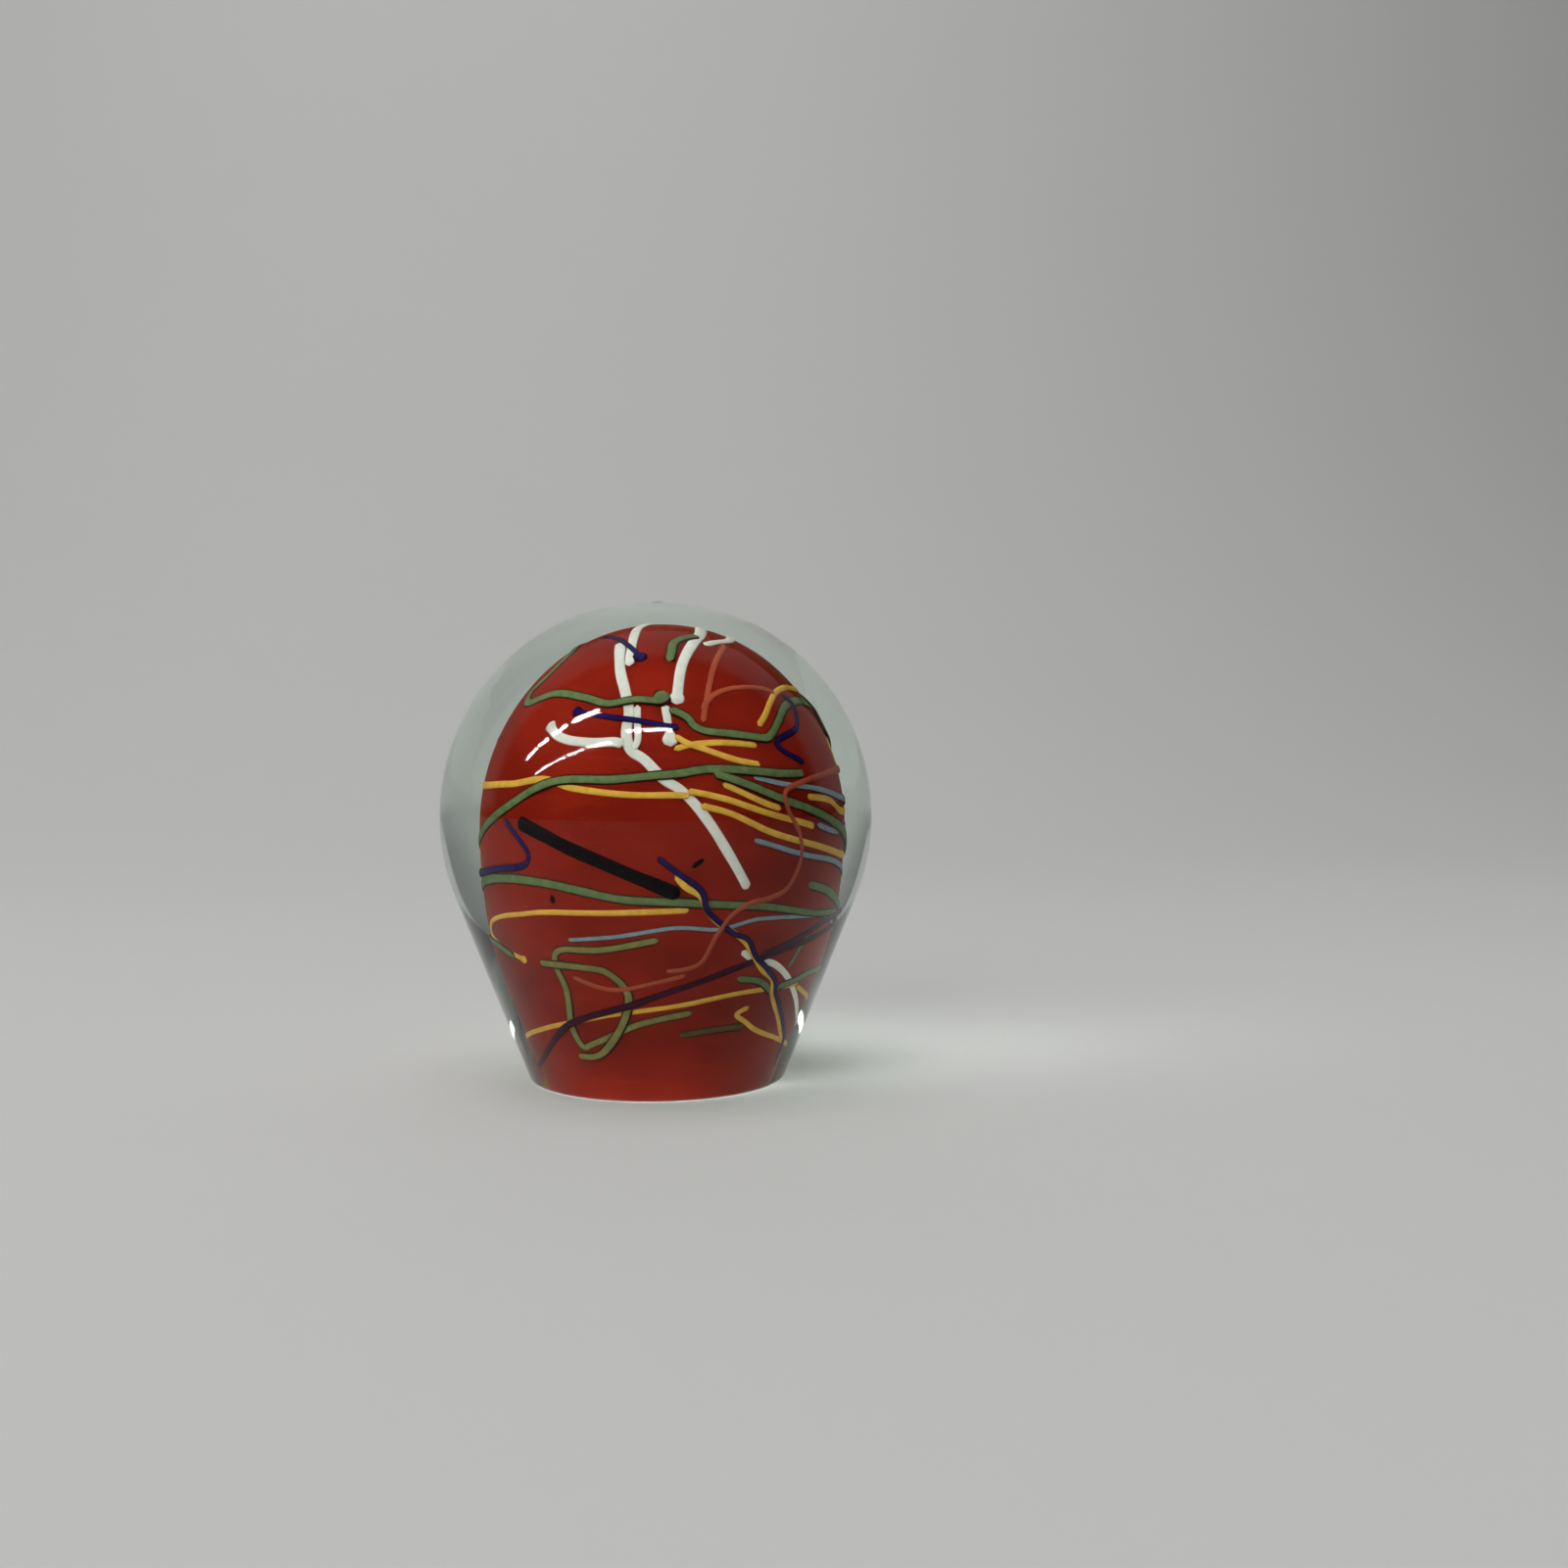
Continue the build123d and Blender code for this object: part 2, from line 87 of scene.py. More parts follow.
# Each thread: its name, its thickness, the diameters of the blobs at its start and end (0 where it
# is snapped off), and the points it passes, as (azimuth, height) on the upright core.  Azimuth 0 is
# the front and 90 is +X.  They stand in the order they were laid: a later one climbs over an earlier.
threads = [
    ("white_thread_long_sweep", white_cane, 0, 0,
     [(-76, 68), (-36, 66), (-24, 63.7), (-18, 61), (-17, 58), (-14, 55.9), (-8, 54.7), (0, 52.2),
      (8, 50.2), (20, 45), (35, 37)]),
    ("white_thread_left_branch", 1.4, 1.8, 0,
     [(-60, 58.6), (-52, 57.4), (-43, 56.8), (-32, 56.7), (-22, 56.9), (-17, 56.6)]),
    ("white_thread_crown_left", 1.3, 0, 0, [(-166, 67), (-140, 68.2), (-60, 68.3), (-29, 66.3)]),
    ("white_thread_front_strand", 1.0, 0, 0, [(-14, 61.8), (-12.5, 59.5), (-11.5, 57.3), (-13, 56)]),
    ("white_thread_crown_right", white_cane, 0, 2.2,
     [(153, 67), (113, 68.4), (50, 68.4), (13, 66.5), (6, 62)]),
    ("white_thread_crown_back", 1.1, 0, 0, [(172, 62), (148, 65), (118, 67), (85, 68), (64, 68.1)]),
    ("white_thread_short_drop", 1.15, 0, 2.3, [(0, 62), (2, 59), (3, 56.5)]),
    ("white_thread_low_right", 1.25, 0, 0,
     [(36, 27), (43, 25.5), (56, 24.5), (70, 22), (86, 18.5), (105, 15), (145, 13)]),
    ("white_thread_back_sweep", white_cane, 0, 2.2, [(132, 56), (160, 51), (195, 43.5), (222, 35)]),
    ("yellow_thread_upper_ring", yellow_cane, 0, 0,
     [(14, 48.6), (26, 47.5), (43, 45), (62, 43.5), (98, 42), (140, 43), (180, 46), (225, 48.5),
      (262, 49.5), (289, 50.5), (309, 51.5), (323, 50.5), (345, 50), (370, 49.9)]),
    ("yellow_thread_right_upper", yellow_cane, 0, 0, [(9, 50.5), (24, 49.5), (42, 47.5), (69, 45.5)]),
    ("yellow_thread_right_short", yellow_cane, 0, 0, [(23, 51.5), (40, 49), (49, 48)]),
    ("yellow_thread_shoulder_short", yellow_cane, 0, 0, [(4, 56.1), (12, 56.8), (26, 57.1), (43, 56.6)]),
    ("yellow_thread_shoulder_lower", yellow_cane, 0, 0, [(4, 58), (12, 56.7), (29, 55), (42, 54)]),
    ("yellow_thread_shoulder_right", yellow_cane, 0, 0,
     [(47, 59), (55, 60.3), (64, 61.6), (77, 62.5), (93, 62.3), (109, 61), (135, 58.5), (165, 57.5)]),
    ("yellow_thread_waist_right", yellow_cane, 0, 0,
     [(65, 49.5), (83, 48.7), (100, 47), (135, 47.5), (165, 49)]),
    ("yellow_thread_right_hook", yellow_cane, 0, 0,
     [(120, 56), (112, 55.3), (106, 53.8), (110, 52), (135, 51)]),
    ("yellow_thread_lower_left_hook", yellow_cane, 1.6, 0,
     [(-69, 25), (-87, 27.5), (-101, 30), (-100, 32), (-89, 33), (-58, 33.5), (-28, 33.5), (11, 34)]),
    ("yellow_thread_low_ring", yellow_cane, 0, 0,
     [(-130, 12), (-97, 12), (-54, 14), (-22, 16), (9, 17.5), (40, 19.5), (82, 21)]),
    ("yellow_thread_foot_hook", yellow_cane, 0, 0,
     [(48, 17), (41, 15.7), (48, 14.3), (59, 12.5), (90, 10.5), (130, 10), (165, 11.5)]),
    ("yellow_thread_low_right", yellow_cane, 0, 0, [(81, 20.3), (95, 19.4), (130, 18.5), (165, 19)]),
    ("grey_thread_upper_right", grey_cane, 0, 0,
     [(37, 52.4), (52, 51.4), (77, 50.1), (99, 48.7), (160, 45)]),
    ("grey_thread_waist_right", grey_cane, 0, 0, [(36, 43.8), (60, 42), (101, 40.6), (140, 39), (178, 38)]),
    ("grey_thread_middle_ring", grey_cane, 0, 0,
     [(-41, 28.8), (-19, 29.5), (5, 31), (24, 30.7), (43, 32.5), (72, 33), (93, 33.3), (130, 31),
      (160, 30)]),
    ("grey_thread_right_short", grey_cane, 0, 0, [(71, 45.7), (90, 44.8), (120, 45.5)]),
    ("green_thread_middle_ring", green_cane, 0, 0,
     [(20, 53), (34, 51.5), (50, 49.3), (64, 48), (104, 44), (140, 41), (180, 39.5), (225, 41), (261, 43.8),
      (288, 47.3), (315, 51.3), (341, 52), (362, 52.8), (378, 53.6), (409, 52.8), (426, 52.5)]),
    ("green_thread_crown", green_cane, 0, 0, [(90, 68.5), (20, 68.6), (6, 67.8), (3, 67)]),
    ("green_thread_shoulder_left", green_cane, 0, 2.9,
     [(-155, 62), (-128, 64.5), (-107, 65), (-95.5, 63), (-96, 60.7), (-87, 60), (-68, 62), (-45, 62.2),
      (-30, 61.7), (-14, 62.4), (-5, 62.4), (2, 63.3)]),
    ("green_thread_shoulder_right", green_cane, 0, 0,
     [(2, 61.3), (7, 60.9), (11.5, 60.2), (14, 59.2), (22, 58.4), (46, 57.5), (53, 57.9), (62, 59.4),
      (75, 60.8), (95, 60.5), (125, 57), (160, 54.5)]),
    ("green_thread_waist", green_cane, 0, 0,
     [(-145, 37), (-108, 38.3), (-79, 38.5), (-47, 37.6), (-18, 35.6), (13, 35), (46, 34.5), (78, 33.7),
      (95, 34.2), (140, 36)]),
    ("green_thread_waist_right", green_cane, 0, 0,
     [(68, 37.8), (89, 37.1), (103, 36.3), (145, 33.5), (180, 32.5), (212, 34)]),
    ("green_thread_lower_turn", green_cane, 0, 0,
     [(-1, 29), (-26, 27.2), (-46, 27), (-50, 24.5), (-47, 20), (-49, 13.5), (-45, 10), (-38, 10.5),
      (-15, 13.7), (1, 15.3), (16, 16.3)]),
    ("green_thread_lower_loop", green_cane, 0, 0,
     [(-60, 24.8), (-37, 24.1), (-24, 23.2), (-15, 19.5), (-18, 14.8), (-28, 10.3), (-37, 8.4),
      (-50, 8.3)]),
    ("green_thread_foot_short", green_cane, 0, 0, [(10, 12.4), (30, 13.1), (47, 13.5)]),
    ("green_thread_low_short", green_cane, 0, 0, [(36, 22.1), (50, 21.4), (61, 19.1)]),
    ("green_thread_back_rise", green_cane, 0, 0,
     [(63, 20.4), (90, 22.8), (104, 23.6), (140, 26), (190, 29.5), (230, 31.3), (249, 30.1),
      (266, 28.3), (282, 25.9)]),
    ("green_thread_right_link", 1.0, 0, 0, [(78, 31.1), (73, 27.5), (67, 23.7)]),
    ("green_thread_right_hook", green_cane, 0, 0,
     [(150, 60.5), (126, 58), (113, 56.5), (113, 55), (126, 53), (150, 53.5)]),
    ("green_thread_back_loop", green_cane, 0, 0,
     [(215, 25.5), (192, 23), (178, 18), (192, 13.5), (225, 14.5), (250, 19)]),
    ("blue_thread_crown", 0.8, 0, 2.0, [(-117, 67), (-97, 67.9), (-58, 68), (-21, 67)]),
    ("blue_thread_upper_front", blue_cane, 1.7, 0, [(-49, 60.4), (-27, 60.1), (-4, 59.5), (7, 59)]),
    ("blue_thread_right_hook", blue_cane, 0, 0,
     [(79, 62), (82, 60.3), (73, 58.1), (55, 57), (56, 55.7), (68, 53.8)]),
    ("blue_thread_left_hook", blue_cane, 0, 0,
     [(-72, 46), (-60, 42.7), (-57, 41), (-62, 39.9), (-78, 39.7), (-104, 39.5), (-150, 42)]),
    ("blue_thread_back_arc", blue_cane, 0, 0, [(146, 56), (175, 53.5), (212, 55), (238, 58.5)]),
    ("black_thread_waist", black_cane, 0, 0, [(-63, 45.8), (-43, 43.3), (-18, 39.8), (7, 36.2)]),
    ("purple_thread_diagonal", purple_cane, 0, 0,
     [(-150, 9), (-120, 6.5), (-89, 7.5), (-50, 13.9), (-11, 18), (28, 23.1), (59, 26.9), (103, 31.6),
      (140, 35), (175, 36)]),
    ("purple_thread_right", purple_cane, 0, 0,
     [(46, 26.2), (65, 28.6), (88, 32.3), (101, 33.8), (138, 38), (165, 41)]),
    ("purple_thread_back_dash", purple_cane, 0, 1.7, [(205, 51), (225, 52.5), (246, 54)]),
    ("yellow_thread_diagonal", yellow_cane, 0, 0,
     [(5, 39), (9, 37.3), (15, 36), (18, 34), (24, 31.6), (30, 30.3), (37, 28.4), (43, 25.7), (49, 23.6),
      (57, 21.8), (60, 19), (71, 15.7), (83, 12.3), (91, 10.2)]),
    ("blue_thread_diagonal", blue_cane, 0, 0,
     [(-2, 41.5), (6, 39.2), (15, 36.8), (18, 34), (25, 31.5), (31, 29.9), (38, 28.9), (43, 26), (51, 23.9),
      (59, 21.5), (62, 19.3), (70, 17), (92, 11), (102, 5.5)]),
    ("salmon_thread_crown", salmon_cane, 0, 0, [(92, 67.5), (46, 66.7), (29, 64.6), (18, 59.8)]),
    ("salmon_thread_shoulder", salmon_cane, 0, 0,
     [(19, 61.4), (27, 63), (40, 63.8), (66, 63.3), (74, 62.4)]),
    ("salmon_thread_long_loop", salmon_cane, 0, 0,
     [(120, 51), (99, 52), (62, 51.4), (51.5, 50.3), (52, 48), (59, 44.5), (60.5, 41), (55, 37.4),
      (45, 35.8), (36, 35), (28, 33), (23, 29.6), (18, 25.2), (10, 23.8), (2, 23.5)]),
    ("salmon_thread_faint", salmon_cane, 0, 0, [(-42, 22.3), (-21, 20.3), (11, 22.9)]),
]

# Short chips of black thread, each as thickness and its two ends
chips = [
    (0.9, (-46, 34.7), (-46, 36.1)),
    (0.7, (11, 40), (16, 41.3)),
    (0.8, (196, 35), (203, 35.8)),
]


# ---- Shapes ----

def select_only(piece):
    """Makes a piece the only one that the next operators act on."""
    bpy.ops.object.select_all(action="DESELECT")
    piece.select_set(True)
    bpy.context.view_layer.objects.active = piece


def smooth_outline(top, radii, ends):
    """Arcs that run on without a corner from the axis downwards, as (centre, radius, start, end)."""
    centre = Vector((0, top - radii[0]))
    arcs = [(centre, radii[0], 0.0, ends[0])]
    for number, start in enumerate(ends[:-1]):
        outward = Vector((sin(radians(start)), cos(radians(start))))
        centre = centre + outward * (radii[number] - radii[number + 1])
        arcs.append((centre, radii[number + 1], start, ends[number + 1]))
    return arcs


def along_arcs(arcs, gap):
    """Points (reach, height) down an outline of arcs, no further apart than a gap."""
    points = []
    for centre, radius, start, end in arcs:
        steps = ceil(radians(end - start) * radius / gap)
        for step in range(steps + 1):
            angle = radians(start + (end - start) * step / steps)
            point = centre + Vector((sin(angle), cos(angle))) * radius
            if not points or (point - points[-1]).length > gap / 100:
                points.append(point)
    return points


def turned(name, outline):
    """A solid of revolution: one vertex is extruded down the outline, and the line is spun about Z."""
    bpy.ops.object.select_all(action="DESELECT")
    bpy.ops.mesh.primitive_plane_add(size=MM, location=(0, 0, 0))
    piece = bpy.context.object
    piece.name = name
    bpy.ops.object.mode_set(mode="EDIT")
    bpy.ops.mesh.select_all(action="SELECT")
    bpy.ops.mesh.merge(type="CENTER")
    first = outline[0]
    bpy.ops.transform.translate(value=(first.x, 0, first.y))
    for before, after in zip(outline, outline[1:]):
        step = (after.x - before.x, 0, after.y - before.y)
        bpy.ops.mesh.extrude_region_move(TRANSFORM_OT_translate={"value": step})
    bpy.ops.mesh.select_all(action="SELECT")
    bpy.ops.mesh.spin(steps=turning_steps, angle=2 * pi, center=(0, 0, 0), axis=(0, 0, 1))
    bpy.ops.mesh.select_all(action="SELECT")
    bpy.ops.mesh.remove_doubles(threshold=MM / 500)
    bpy.ops.mesh.normals_make_consistent(inside=False)
    bpy.ops.mesh.faces_shade_smooth()
    bpy.ops.object.mode_set(mode="OBJECT")
    return piece


def casing_outline():
    """The casing's outline from the shear mark down to the middle of the foot."""
    off_axis = (ball_radius - shoulder_radius) * sin(radians(shoulder_angle))
    ball_rise = (ball_radius - shoulder_radius) * cos(radians(shoulder_angle))
    crown_radius = shoulder_radius + off_axis / sin(radians(crown_angle))
    crown_drop = (crown_radius - shoulder_radius) * cos(radians(crown_angle))
    ball_centre = crown_height - crown_radius + crown_drop - ball_rise
    slope = atan2(ball_centre, base_radius) - acos(ball_radius / hypot(ball_centre, base_radius))
    side_angle = 90 + degrees(slope)
    radii = (crown_radius, shoulder_radius, ball_radius)
    arcs = smooth_outline(crown_height, radii, (crown_angle, shoulder_angle, side_angle))
    # the foot's edge is rounded between the cone and the ground face
    edge_reach = base_radius - base_edge_radius * (1 - sin(slope)) / cos(slope)
    edge = (Vector((edge_reach, base_edge_radius)), base_edge_radius, side_angle, 180.0)
    points = along_arcs(arcs, 0.9 * MM) + along_arcs([edge], 0.15 * MM)
    points.append(Vector((0, 0)))
    for point in points:
        # a soft button stands where the shears cut the gather
        if point.y > ball_radius:
            point.y += shear_mark_height * exp(-(point.x / shear_mark_radius) ** 4)
    return points


def egg_arcs(inset=0.0):
    """The core's outline down to the foot, or the same outline an even distance inside it."""
    radii = [radius - inset for radius in core_radii]
    arcs = smooth_outline(core_height - inset, radii, core_angles + (180.0,))
    centre, radius, start, _ = arcs[-1]
    return arcs[:-1] + [(centre, radius, start, degrees(acos(-centre.y / radius)))]


lean = Matrix.Rotation(radians(core_lean), 4, "Y")


def stood_in_casing(piece):
    """Leans a piece of the upright core and grinds its end flat, just clear of the foot."""
    piece.data.transform(lean)
    for vertex in piece.data.vertices:
        if vertex.co.z < foot_corner:
            vertex.co.z = foot_clearance
    return piece


def red_overlay_shell():
    """The opaque red skin, open at the ground end to show the heart."""
    outside = along_arcs(egg_arcs(), 0.8 * MM)
    inside = along_arcs(egg_arcs(overlay_thickness), 2 * MM)
    return stood_in_casing(turned("red_skin", outside + inside[::-1]))


def heart():
    """The clear gather inside the red skin."""
    outline = along_arcs(egg_arcs(overlay_thickness + 0.02 * MM), 2 * MM)
    return stood_in_casing(turned("clear_heart", outline + [Vector((0, 0))]))


skin = egg_arcs()


def on_skin(azimuth, height):
    """The point of the upright core's skin at an azimuth and a height."""
    for centre, radius, _, end in skin:
        if height >= centre.y + radius * cos(radians(end)):
            break
    reach = centre.x + sqrt(radius ** 2 - (height - centre.y) ** 2)
    return Vector((reach * sin(radians(azimuth)), -reach * cos(radians(azimuth)), height))


def off_skin(point, distance):
    """The point at a distance outside the skin, over the spot of skin nearest to a point."""
    reach = hypot(point.x, point.y)
    for centre, radius, _, end in skin:
        angle = atan2(reach - centre.x, point.z - centre.y)
        if angle <= radians(end):
            break
    new_reach = centre.x + (radius + distance) * sin(angle)
    height = centre.y + (radius + distance) * cos(angle)
    return Vector((point.x * new_reach / reach, point.y * new_reach / reach, height))


def route_spots(route, seed):
    """Spots of skin a section apart, on the smooth line that a thread was laid along."""
    marks = [on_skin(azimuth, height * MM) for azimuth, height in route]
    marks = [2 * marks[0] - marks[1]] + marks + [2 * marks[-1] - marks[-2]]
    spots = []
    for before, first, last, after in zip(marks, marks[1:], marks[2:], marks[3:]):
        steps = ceil((last - first).length / spot_gap)
        for step in range(steps + (last is marks[-2])):
            t = step / steps
            spot = 0.5 * (2 * first + (last - before) * t
                          + (2 * before - 5 * first + 4 * last - after) * t ** 2
                          + (3 * first - before - 3 * last + after) * t ** 3)
            stray = noise.noise_vector(spot / wobble_length + Vector((seed, 0, 0)))
            spots.append(off_skin(spot + stray * wobble, 0))
    return spots


def smoothed(values, reach):
    """The running mean of values, over a few to each side."""
    padded = np.pad(values, reach, mode="edge")
    return np.convolve(padded, np.ones(2 * reach + 1) / (2 * reach + 1), mode="valid")


def thread_radii(spots, thickness, start_blob, end_blob, seed):
    """The thread's radius at each of its sections: swelling a little, and round or beaded at its ends."""
    radii = []
    length = spot_gap * (len(spots) - 1)
    for number, spot in enumerate(spots):
        radius = thickness / 2 * (1 + swell * noise.noise(spot / swell_length + Vector((0, seed, 0))))
        along = spot_gap * number
        for distance, blob in ((along, start_blob), (length - along, end_blob)):
            bead = max(thickness, blob) / 2
            if blob and distance < 2 * bead:
                ball = sqrt(max(0, bead ** 2 - (distance - bead) ** 2))
                radius = ball if distance < bead else max(ball, radius)
            elif distance < radius:
                radius = sqrt(max(0, radius ** 2 - (radius - distance) ** 2))
        radii.append(max(radius, 0.04 * thickness))
    return np.array(radii)


def thread_heights(spots, thickness, laid):
    """How high over the skin a thread's centre runs, clearing what is laid there already."""
    places = np.array([tuple(spot) for spot in spots])
    rest = -sunk_share * thickness
    heights = np.full(len(spots), rest)
    for other_places, other_radius, other_heights in laid:
        gaps = np.linalg.norm(places[:, None] - other_places[None], axis=2)
        reach = rise_distance * (thickness / 2 + other_radius)
        share = np.clip(2 * (1 - gaps / reach), 0, 1)
        over = other_heights + flatness * other_radius + ride_share * thickness - rest
        heights = np.maximum(heights, rest + (share * over[None]).max(axis=1))
    return smoothed(heights, 3)


def thread(name, thickness, start_blob, end_blob, route, laid):
    """One melted glass thread, as a tube along its route that rides over the threads under it."""
    seed = 3.7 * len(laid)
    thickness = thickness * MM
    spots = route_spots(route, seed)
    radii = thread_radii(spots, thickness, start_blob * MM, end_blob * MM, seed)
    heights = thread_heights(spots, thickness, laid)
    places = np.array([tuple(spot) for spot in spots])
    laid.append((places, thickness / 2, heights))
    return tube(name, spots, radii, heights)


def tube(name, spots, radii, heights):
    """A round tube through spots of skin, at given heights over it, in the leaned core's place."""
    bpy.ops.object.select_all(action="DESELECT")
    bpy.ops.curve.primitive_nurbs_path_add(location=(0, 0, 0))
    piece = bpy.context.object
    piece.name = name
    line = piece.data
    line.splines.clear()
    run = line.splines.new("POLY")
    run.points.add(len(spots) - 1)
    centres = []
    for spot, radius, height, point in zip(spots, radii, heights, run.points):
        centre = off_skin(spot, height)
        centres.append(centre)
        point.co = (*centre, 1)
        point.radius = radius / MM
    line.dimensions = "3D"
    line.bevel_depth = MM
    line.bevel_resolution = 5
    line.use_fill_caps = True
    bpy.ops.object.convert(target="MESH")
    flatten_section(piece, centres, spots)
    piece.data.transform(lean)
    select_only(piece)
    bpy.ops.object.shade_smooth()
    return piece


def flatten_section(piece, centres, spots):
    """Flattens a tube towards the skin, and marks each point with how squarely it faced outwards.

    The mark is 1 on the thread's crown and 0 on its flanks."""
    middles = np.array([tuple(centre) for centre in centres])
    outward = np.array([tuple((off_skin(spot, MM) - spot).normalized()) for spot in spots])
    vertices = np.empty(len(piece.data.vertices) * 3)
    piece.data.vertices.foreach_get("co", vertices)
    vertices = vertices.reshape(-1, 3)
    nearest = np.array([np.argmin(np.linalg.norm(middles - vertex, axis=1)) for vertex in vertices])
    arms = vertices - middles[nearest]
    rise = (arms * outward[nearest]).sum(axis=1)
    facing = rise / np.maximum(np.linalg.norm(arms, axis=1), MM / 1000)
    vertices -= outward[nearest] * (rise * (1 - flatness))[:, None]
    piece.data.vertices.foreach_set("co", vertices.ravel())
    crown = piece.data.attributes.new("crown", "FLOAT", "POINT")
    crown.data.foreach_set("value", facing.astype(np.float32))


def black_chips(laid):
    """The loose chips of black thread, as one piece."""
    pieces = []
    for thickness, start, end in chips:
        pieces.append(thread("melted_black_chip", thickness, 0, 0, [start, end], laid))
    bpy.ops.object.select_all(action="DESELECT")
    for piece in pieces:
        piece.select_set(True)
    bpy.context.view_layer.objects.active = pieces[0]
    bpy.ops.object.join()
    pieces[0].name = "melted_black_chips"
    return pieces[0]


# ---- Finishes ----

class Signal:
    """A shader socket that can stand in sums and products."""

    def __init__(self, finish, socket):
        self.finish = finish
        self.socket = socket

    def joined(self, operation, first, second):
        maths = self.finish.node("ShaderNodeMath", {"operation": operation}, {0: first, 1: second})
        return Signal(self.finish, maths.outputs[0])

    def __add__(self, other):
        return self.joined("ADD", self, other)

    __radd__ = __add__

    def __sub__(self, other):
        return self.joined("SUBTRACT", self, other)

    def __rsub__(self, other):
        return self.joined("SUBTRACT", other, self)

    def __mul__(self, other):
        return self.joined("MULTIPLY", self, other)

    __rmul__ = __mul__


class Finish:
    """A material and the nodes that make it."""

    def __init__(self, name):
        self.material = bpy.data.materials.new(name)
        self.material.use_nodes = True
        self.nodes = self.material.node_tree.nodes
        self.links = self.material.node_tree.links
        self.nodes.clear()
        self.output = self.node("ShaderNodeOutputMaterial")

    def node(self, kind, settings=None, sockets=None):
        """A node of a type, with its settings made first and then its sockets set or linked."""
        made = self.nodes.new(kind)
        for setting, value in (settings or {}).items():
            if setting == "stops":
                for number, (place, colour) in enumerate(value):
                    stops = made.color_ramp.elements
                    stop = stops[number] if number < 2 else stops.new(place)
                    stop.position = place
                    stop.color = (*colour, 1)
            else:
                setattr(made, setting, value)
        for socket, value in (sockets or {}).items():
            if isinstance(value, Signal):
                self.links.new(value.socket, made.inputs[socket])
            else:
                made.inputs[socket].default_value = value
        return made

    def signal(self, kind, settings=None, sockets=None, output=0):
        """The same, as a signal from one of the node's outputs."""
        return Signal(self, self.node(kind, settings, sockets).outputs[output])

    def cloud(self, size, detail=3.0, stretch=(1, 1, 1)):
        """Soft noise from 0 to 1, with lumps of about a size in metres."""
        place = self.signal("ShaderNodeTexCoord", output="Object")
        place = self.signal("ShaderNodeMapping", sockets={"Vector": place, "Scale": stretch})
        return self.signal("ShaderNodeTexNoise", sockets={"Vector": place, "Scale": 1 / size, "Detail": detail})

    def mixed(self, factor, first, second):
        """A colour between two others."""
        return self.signal("ShaderNodeMix", {"data_type": "RGBA"}, {0: factor, 6: first, 7: second}, output=2)

    def between(self, value, low, high):
        """0 below one value, 1 above another, and smooth between them."""
        return self.signal("ShaderNodeMapRange", {"interpolation_type": "SMOOTHSTEP"},
                           {"Value": value, "From Min": low, "From Max": high})

    def surface(self, shader, volume=None):
        """Sends a shader to the surface, and another to the volume where there is one."""
        self.links.new(shader.socket, self.output.inputs["Surface"])
        if volume:
            self.links.new(volume.socket, self.output.inputs["Volume"])
        return self.material


def shadow_open(finish, shader, tint):
    """Lets light through a glass to what is inside, without the bright patterns that it would cast."""
    path = finish.signal("ShaderNodeLightPath", output="Is Shadow Ray")
    clear = finish.signal("ShaderNodeBsdfTransparent", sockets={"Color": tint})
    return finish.signal("ShaderNodeMixShader", sockets={0: path, 1: shader, 2: clear})


def casing_glass():
    """Clear soda glass with a trace of green, and a finely ground foot."""
    finish = Finish("clear_casing_glass")
    place = finish.signal("ShaderNodeTexCoord", output="Object")
    height = finish.signal("ShaderNodeSeparateXYZ", sockets={0: place}, output="Z")
    ground_face = 1 - finish.between(height, 0.1 * MM, 0.3 * MM)
    waves = finish.signal("ShaderNodeBump", sockets={"Strength": 0.02, "Distance": 1.0 * MM,
                                                     "Height": finish.cloud(14 * MM, 1.0)})
    glass = finish.signal("ShaderNodeBsdfPrincipled", sockets={
        "Base Color": (0.97, 0.985, 0.975, 1), "Roughness": ground_face * 0.08, "IOR": 1.52,
        "Transmission Weight": 1.0, "Specular Tint": (0.02, 0.02, 0.02, 1), "Normal": waves,
        "Coat Weight": 0.2, "Coat IOR": 1.52, "Coat Roughness": 0.04})
    depth = finish.signal("ShaderNodeVolumeAbsorption", sockets={"Color": (0.79, 0.87, 0.82, 1), "Density": 22.0})
    return finish.surface(shadow_open(finish, glass, (0.93, 0.95, 0.93, 1)), depth)


def heart_glass():
    """The clear gather that the red was laid on."""
    finish = Finish("clear_heart_glass")
    seeds = finish.between(finish.cloud(1.5 * MM, 2.0), 0.62, 0.72)
    glass = finish.signal("ShaderNodeBsdfPrincipled", sockets={
        "Base Color": finish.mixed(seeds, (0.80, 0.78, 0.74, 1), (0.9, 0.9, 0.88, 1)),
        "Roughness": 0.25, "IOR": 1.52, "Specular IOR Level": 0.0})
    return finish.surface(glass)


def red_glass():
    """Opaque red: darker pools and paler wisps, drawn out round the core as it was turned."""
    finish = Finish("red_overlay_glass")
    pools = finish.between(finish.cloud(16 * MM, 2.0, (1, 1, 1.6)), 0.35, 0.68)
    wisps = finish.between(finish.cloud(5 * MM, 4.0, (0.5, 0.5, 2.5)), 0.5, 0.8)
    grain = finish.cloud(0.7 * MM, 2.0)
    colour = finish.mixed(pools, (0.175, 0.0095, 0.0042, 1), (0.235, 0.0135, 0.006, 1))
    colour = finish.mixed(wisps * 0.35, colour, (0.285, 0.027, 0.012, 1))
    colour = finish.mixed(grain * 0.12, colour, (0.12, 0.006, 0.003, 1))
    red = finish.signal("ShaderNodeBsdfPrincipled", sockets={
        "Base Color": colour, "Roughness": 0.5, "Specular IOR Level": 0.0,
        "Sheen Weight": 0.08, "Sheen Roughness": 0.25, "Sheen Tint": (1.0, 0.85, 0.5, 1)})
    return finish.surface(red)


